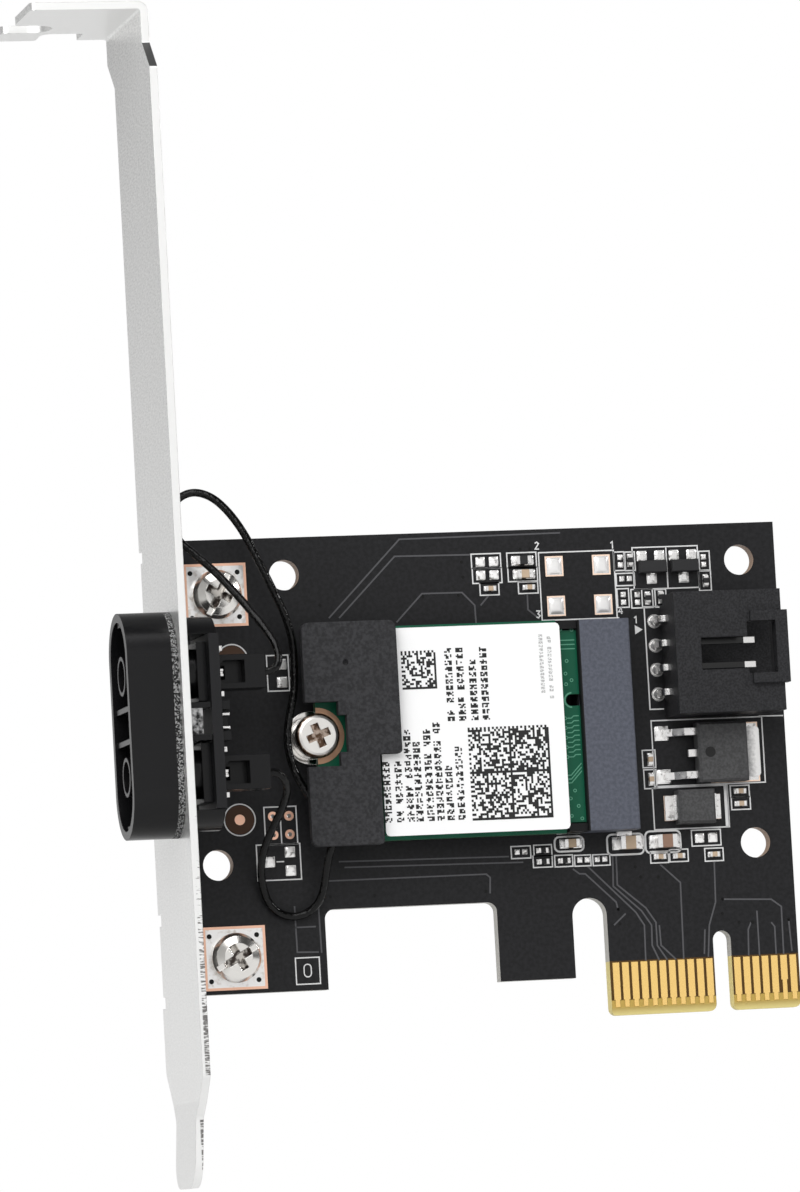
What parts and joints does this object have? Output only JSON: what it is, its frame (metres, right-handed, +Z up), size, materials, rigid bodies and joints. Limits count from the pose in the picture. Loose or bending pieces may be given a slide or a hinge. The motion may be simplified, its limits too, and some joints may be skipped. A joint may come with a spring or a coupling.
{
  "type": "wifi expansion card",
  "caption": "Wireless network expansion card with a full-height slot bracket, an antenna socket block, a socketed radio module, coaxial leads and a pin header.",
  "frame": {"origin": "foot of the edge connector, on the centre of its key notch and of the board's thickness", "axes": "+X along the board from the bracket to its free end, +Y away from the component side, +Z up the bracket towards its tab"},
  "size_m": [0.079, 0.0216, 0.1201],
  "materials": {
    "bracket": "nickel-plated, fine grain",
    "bracket_screws": "bright nickel",
    "circuit_board": "black solder mask",
    "screw_pads": "tinned",
    "edge_contacts_front": "gold-plated",
    "edge_contacts_back": "gold-plated",
    "module_board": "green solder mask",
    "module_contacts": "gold-plated",
    "module_shield": "tinned sheet",
    "module_label": "matt print",
    "module_socket": "moulded",
    "socket_contacts": "tinned",
    "socket_hold_downs": "tinned",
    "module_standoff": "nickel-plated",
    "module_screw": "bright nickel",
    "cover_pad": "matt foam rubber",
    "coax_receptacles": "gold-plated",
    "lead_plugs": "gold-plated",
    "antenna_housing": "satin moulding",
    "antenna_gasket": "foam",
    "coax_barrels": "moulded",
    "socket_sleeves": "gold-plated",
    "socket_pins": "gold-plated",
    "antenna_board": "black solder mask",
    "ground_posts": "tinned",
    "latch_block": "moulded",
    "latch_pins": "tinned",
    "latch_spring": "spring sheet",
    "lead_holder_upper": "moulded",
    "lead_holder_lower": "moulded",
    "fork_contacts": "tinned",
    "antenna_lead_upper": "flexible jacket",
    "antenna_lead_lower": "flexible jacket",
    "header_shroud": "moulded, fine grain",
    "header_pins": "tinned",
    "header_solder": "solder",
    "regulator_body": "moulded",
    "regulator_tab": "tinned",
    "regulator_leads": "tinned",
    "diode_body": "moulded",
    "diode_terminals": "tinned",
    "transistor_bodies": "moulded",
    "transistor_leads": "tinned",
    "resistor_bodies": "glazed top",
    "capacitor_bodies": "fired ceramic",
    "chip_end_caps": "tinned",
    "solder_pads": "tinned",
    "copper_marks": "bare copper"
  },
  "bodies": {
    "root": {"bracket": "bracket", "bracket_screws": "bracket_screws", "circuit_board": "circuit_board", "screw_pads": "screw_pads", "edge_contacts_front": "edge_contacts_front", "edge_contacts_back": "edge_contacts_back", "module_board": "module_board", "module_contacts": "module_contacts", "module_shield": "module_shield", "module_label": "module_label", "module_socket": "module_socket", "socket_contacts": "socket_contacts", "socket_hold_downs": "socket_hold_downs", "module_standoff": "module_standoff", "module_screw": "module_screw", "cover_pad": "cover_pad", "coax_receptacles": "coax_receptacles", "lead_plugs": "lead_plugs", "antenna_housing": "antenna_housing", "antenna_gasket": "antenna_gasket", "coax_barrels": "coax_barrels", "socket_sleeves": "socket_sleeves", "socket_pins": "socket_pins", "antenna_board": "antenna_board", "ground_posts": "ground_posts", "latch_block": "latch_block", "latch_pins": "latch_pins", "latch_spring": "latch_spring", "lead_holder_upper": "lead_holder_upper", "lead_holder_lower": "lead_holder_lower", "fork_contacts": "fork_contacts", "antenna_lead_upper": "antenna_lead_upper", "antenna_lead_lower": "antenna_lead_lower", "header_shroud": "header_shroud", "header_pins": "header_pins", "header_solder": "header_solder", "regulator_body": "regulator_body", "regulator_tab": "regulator_tab", "regulator_leads": "regulator_leads", "diode_body": "diode_body", "diode_terminals": "diode_terminals", "transistor_bodies": "transistor_bodies", "transistor_leads": "transistor_leads", "resistor_bodies": "resistor_bodies", "capacitor_bodies": "capacitor_bodies", "chip_end_caps": "chip_end_caps", "solder_pads": "solder_pads", "copper_marks": "copper_marks"}
  },
  "joints": []
}
